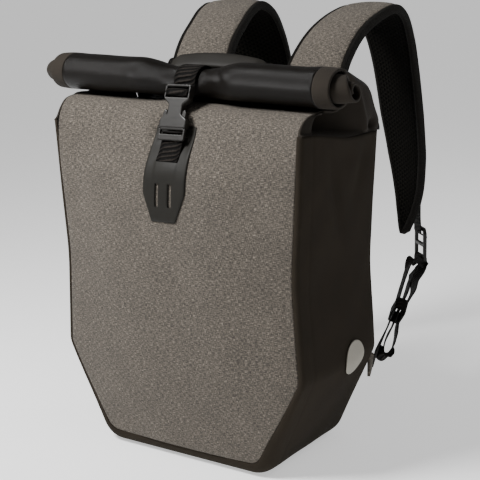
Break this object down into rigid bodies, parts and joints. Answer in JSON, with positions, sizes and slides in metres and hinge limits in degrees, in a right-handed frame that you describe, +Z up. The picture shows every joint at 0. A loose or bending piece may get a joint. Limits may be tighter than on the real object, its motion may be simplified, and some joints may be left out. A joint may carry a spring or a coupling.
{
  "type": "roll-top messenger backpack",
  "caption": "Roll-top bicycle backpack with a grey melange front, black sides, webbing buckle closure, carrying handle and padded shoulder straps.",
  "frame": {"origin": "centre of the base, on the surface that the bag stands on", "axes": "+Z up, +Y towards the wearer's back, +X to the right when facing the front panel"},
  "size_m": [0.3546, 0.3599, 0.4421],
  "materials": {
    "melange_cloth": "matte melange weave",
    "black_cloth": "coated matte cloth",
    "satin_cloth": "coated satin cloth",
    "matte_cloth": "coated matte cloth",
    "coated_patch": "matte rubberised cloth",
    "webbing": "woven webbing",
    "binding": "ribbed tape",
    "spacer_mesh": "hexagonal spacer mesh",
    "buckle_plastic": "moulded satin",
    "reflective_print": "reflective film"
  },
  "bodies": {
    "root": {"front_panel": "melange_cloth", "side_band": "black_cloth", "back_panel": "black_cloth", "roll_top": "satin_cloth", "roll_end_right": "matte_cloth", "roll_end_left": "matte_cloth", "side_tuck_right": "matte_cloth", "side_tuck_left": "matte_cloth", "patch": "coated_patch", "closure_webbing_upper": "webbing", "closure_webbing_lower": "webbing", "buckle_female": "buckle_plastic", "buckle_male": "buckle_plastic", "handle_grip": "coated_patch", "handle_webbing": "webbing", "strap_cover_right": "melange_cloth", "strap_cover_left": "melange_cloth", "strap_pad_right": "spacer_mesh", "strap_pad_left": "spacer_mesh", "strap_binding_right": "binding", "strap_binding_left": "binding", "strap_webbing_upper_right": "webbing", "strap_webbing_upper_left": "webbing", "ladder_lock_right": "buckle_plastic", "ladder_lock_left": "buckle_plastic", "strap_webbing_lower_right": "webbing", "strap_webbing_lower_left": "webbing", "webbing_keeper_right": "binding", "webbing_keeper_left": "binding", "side_tab_right": "melange_cloth", "side_tab_left": "melange_cloth", "side_disc": "reflective_print"}
  },
  "joints": []
}
